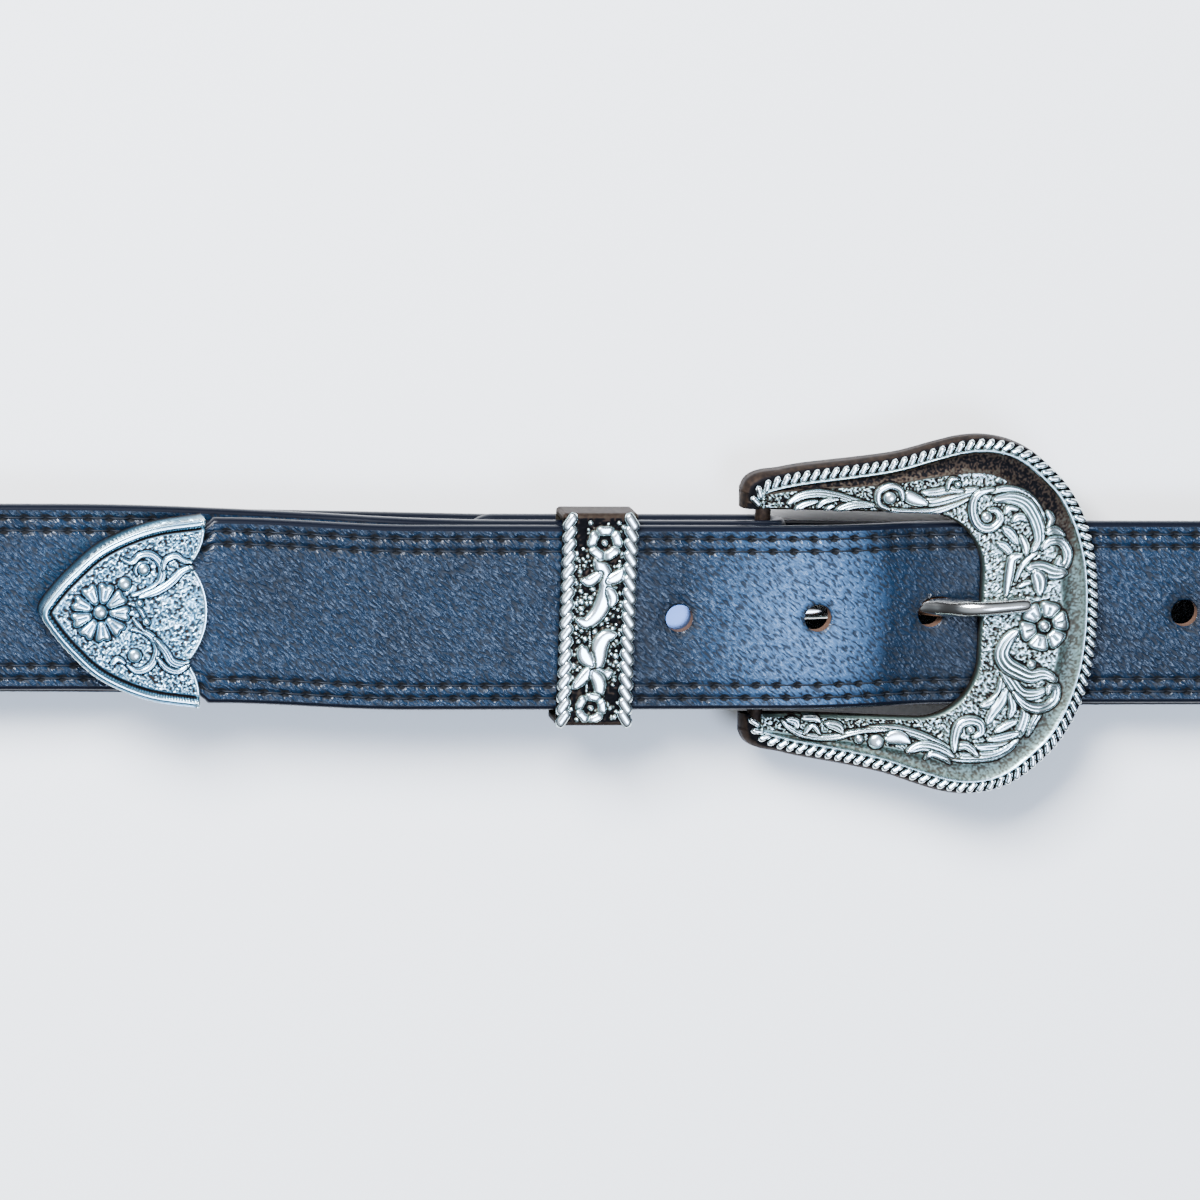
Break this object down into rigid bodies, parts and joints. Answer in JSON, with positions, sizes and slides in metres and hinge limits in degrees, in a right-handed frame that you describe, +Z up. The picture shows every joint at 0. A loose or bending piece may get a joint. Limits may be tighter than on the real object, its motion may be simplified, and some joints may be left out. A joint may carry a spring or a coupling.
{
  "type": "western leather belt",
  "caption": "Buckled leather strap in a whole loop, lying face up, with an engraved western buckle, prong, metal keeper and pointed metal belt tip.",
  "frame": {"origin": "centre of the bounding box in plan, on the surface that the loop lies on", "axes": "+X along the belt towards the buckle's bow, +Y across the strap, +Z up out of the belt's face"},
  "size_m": [0.4374, 0.0733, 0.045],
  "materials": {
    "strap_leather": "smooth black-blue grain leather, satin, dark painted edges",
    "antique_silver": "antique silver plate on cast zinc, bright relief over a blackened stippled ground",
    "polished_metal": "polished nickel plate",
    "snap_metal": "plain nickel-plated snap"
  },
  "bodies": {
    "root": {"strap": "strap_leather", "buckle_frame": "antique_silver", "keeper": "antique_silver", "belt_tip": "antique_silver", "prong": "polished_metal", "snap_cap_1": "snap_metal", "snap_cap_2": "snap_metal", "snap_stud_1": "snap_metal", "snap_stud_2": "snap_metal"}
  },
  "joints": []
}
